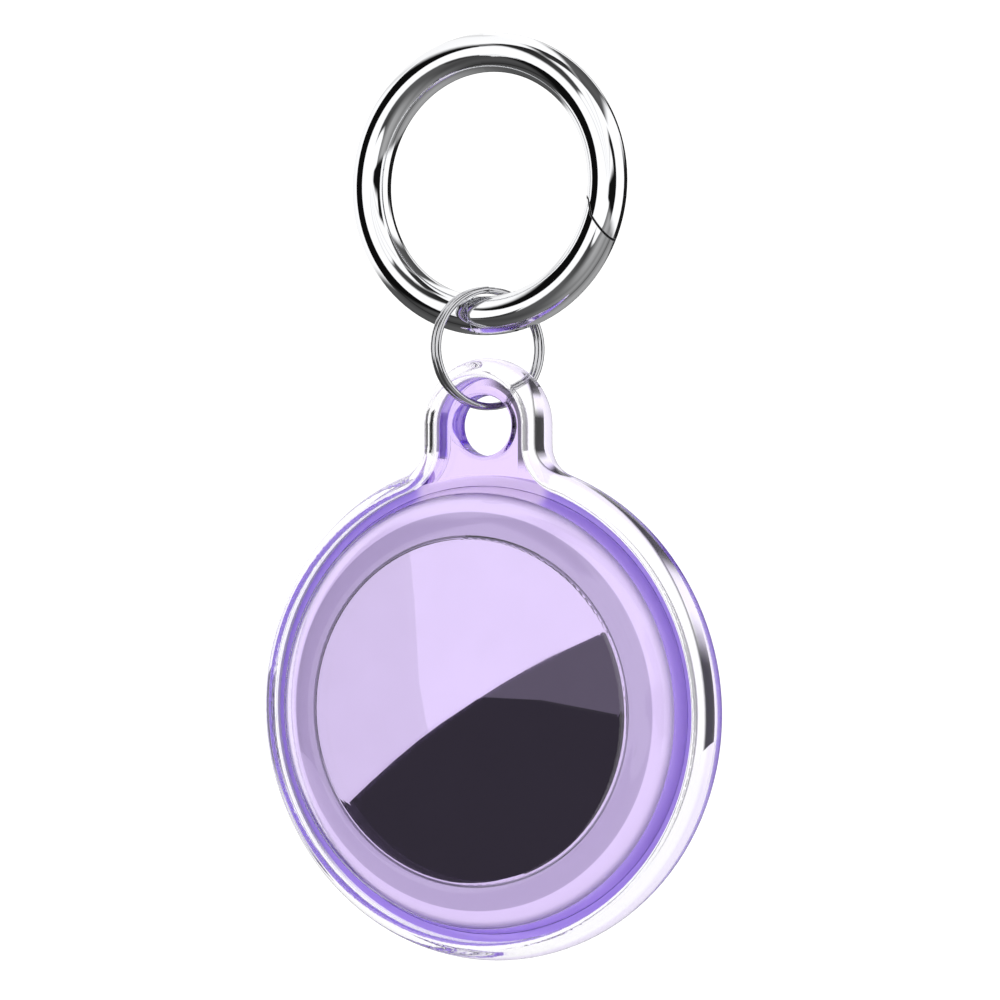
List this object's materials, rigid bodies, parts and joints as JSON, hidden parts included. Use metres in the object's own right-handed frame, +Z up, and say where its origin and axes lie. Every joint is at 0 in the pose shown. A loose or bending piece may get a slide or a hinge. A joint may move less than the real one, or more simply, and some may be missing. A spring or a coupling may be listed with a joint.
{
  "type": "item tracker keychain case",
  "caption": "Round item tracker in a clear, lilac-tinted waterproof case with a tab and hole, hung by a split ring from a spring-gate ring.",
  "frame": {"origin": "centre of the gate ring, in the middle of its wire's thickness", "axes": "+X to the right, -Y out of the front cover, +Z up along the hanging line through the ring, the split ring and the tab"},
  "size_m": [0.037, 0.0106, 0.0687],
  "materials": {
    "polished_chrome": "mirror-bright nickel chrome plating",
    "steel_pin": "turned steel",
    "spring_wire": "drawn spring wire",
    "bright_steel_wire": "bright nickel-plated wire",
    "clear_frame": "clear soft plastic, gloss",
    "lilac_shell": "lilac-tinted transparent plastic, gloss",
    "seal_rubber": "clear silicone",
    "white_plastic": "gloss white moulding",
    "polished_steel": "mirror-polished stainless steel",
    "cell_steel": "nickel-plated steel can",
    "grey_plastic": "moulded",
    "contact_brass": "gold-plated spring strip",
    "board_green": "solder mask",
    "chip_black": "epoxy",
    "magnet_nickel": "nickel plate",
    "coil_copper": "copper",
    "black_plastic": "moulded"
  },
  "bodies": {
    "gate_ring": {"ring_body": "polished_chrome", "hinge_pin": "steel_pin", "gate_spring": "spring_wire"},
    "gate": {"ring_gate": "polished_chrome"},
    "link": {"split_ring": "bright_steel_wire"},
    "case": {"rear_cover": "lilac_shell", "bumper_frame": "clear_frame", "seal_ring": "seal_rubber"},
    "cover": {"front_cover": "lilac_shell"},
    "tag": {"tag_shell": "white_plastic", "coin_cell": "cell_steel", "battery_tray": "grey_plastic", "positive_contacts": "contact_brass", "negative_contact": "contact_brass", "logic_board": "board_green", "radio_chip": "chip_black", "processor_chip": "chip_black", "motion_sensor": "chip_black", "board_parts": "chip_black", "speaker_magnet": "magnet_nickel", "voice_coil": "coil_copper", "antenna_carrier": "black_plastic", "antenna_traces": "coil_copper"},
    "door": {"battery_door": "polished_steel"}
  },
  "joints": [
    {"name": "gate_hinge", "type": "hinge", "parent": "gate_ring", "child": "gate", "pos_m": [0.00236, 0, -0.00946], "axis": [0, -1, 0], "range_deg": [0, 24], "stiffness_Nm_per_rad": 0.01, "springref_deg": -20.05},
    {"name": "link_swing", "type": "hinge", "parent": "gate_ring", "child": "link", "pos_m": [0, 0, -0.00975], "axis": [1, 0, 0], "range_deg": [-60, 60]},
    {"name": "case_swing", "type": "hinge", "parent": "link", "child": "case", "pos_m": [0, 0, -0.01217], "axis": [0.809, -0.5878, 0], "range_deg": [-40, 40]},
    {"name": "cover_slide", "type": "slide", "parent": "case", "child": "cover", "axis": [0, -1, 0], "range_m": [0, 0.02]},
    {"name": "tag_slide", "type": "slide", "parent": "case", "child": "tag", "axis": [0, -1, 0], "range_m": [0, 0.01]},
    {"name": "door_twist", "type": "hinge", "parent": "tag", "child": "door", "pos_m": [0, 0, -0.0389], "axis": [0, 1, 0], "range_deg": [0, 30]}
  ],
  "couplings": [
    {"joint": "tag_slide", "follows": "cover_slide", "ratio": 0.5}
  ]
}
